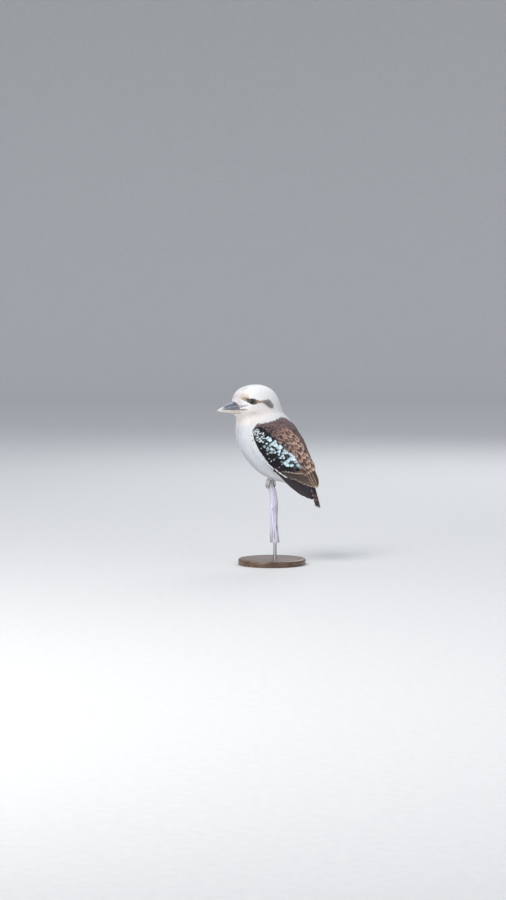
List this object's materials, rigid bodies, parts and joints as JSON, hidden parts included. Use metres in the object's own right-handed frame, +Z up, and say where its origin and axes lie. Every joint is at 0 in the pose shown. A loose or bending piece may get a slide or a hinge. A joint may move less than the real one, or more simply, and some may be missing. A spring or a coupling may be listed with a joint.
{
  "type": "laughing kookaburra",
  "caption": "Still life-size laughing kookaburra with folded wings and turned head, perched on a short cut branch over a flat round display stand.",
  "frame": {"origin": "centre of the underside of the stand's round base", "axes": "+Z up along the rod and perch; the bird faces -X and its left side is towards -Y"},
  "size_m": [0.2383, 0.156, 0.4153],
  "materials": {
    "white_plumage": "soft matt feathers",
    "brown_plumage": "close vaned feathers, slightly silky",
    "tail_plumage": "close vaned feathers, slightly silky",
    "dark_bill": "worn horn, satin",
    "pale_bill": "worn horn, satin",
    "eye": "wet gloss",
    "leg_skin": "fine scales, satin",
    "claw": "horn, satin",
    "dead_wood": "weathered grey, barkless, lengthwise cracks",
    "stand_wood": "dark oiled wood",
    "stand_metal": "brushed"
  },
  "bodies": {
    "root": {"head": "white_plumage", "bill_upper": "dark_bill", "bill_lower": "pale_bill", "eye_left": "eye", "eye_right": "eye", "neck": "white_plumage", "trunk": "white_plumage", "wing_left": "brown_plumage", "wing_right": "brown_plumage", "tail": "tail_plumage", "leg_left": "leg_skin", "leg_right": "leg_skin", "claw_left_1": "claw", "claw_left_2": "claw", "claw_left_3": "claw", "claw_left_4": "claw", "claw_right_1": "claw", "claw_right_2": "claw", "claw_right_3": "claw", "claw_right_4": "claw", "perch": "dead_wood", "stand_base": "stand_wood", "stand_rod": "stand_metal"}
  },
  "joints": []
}
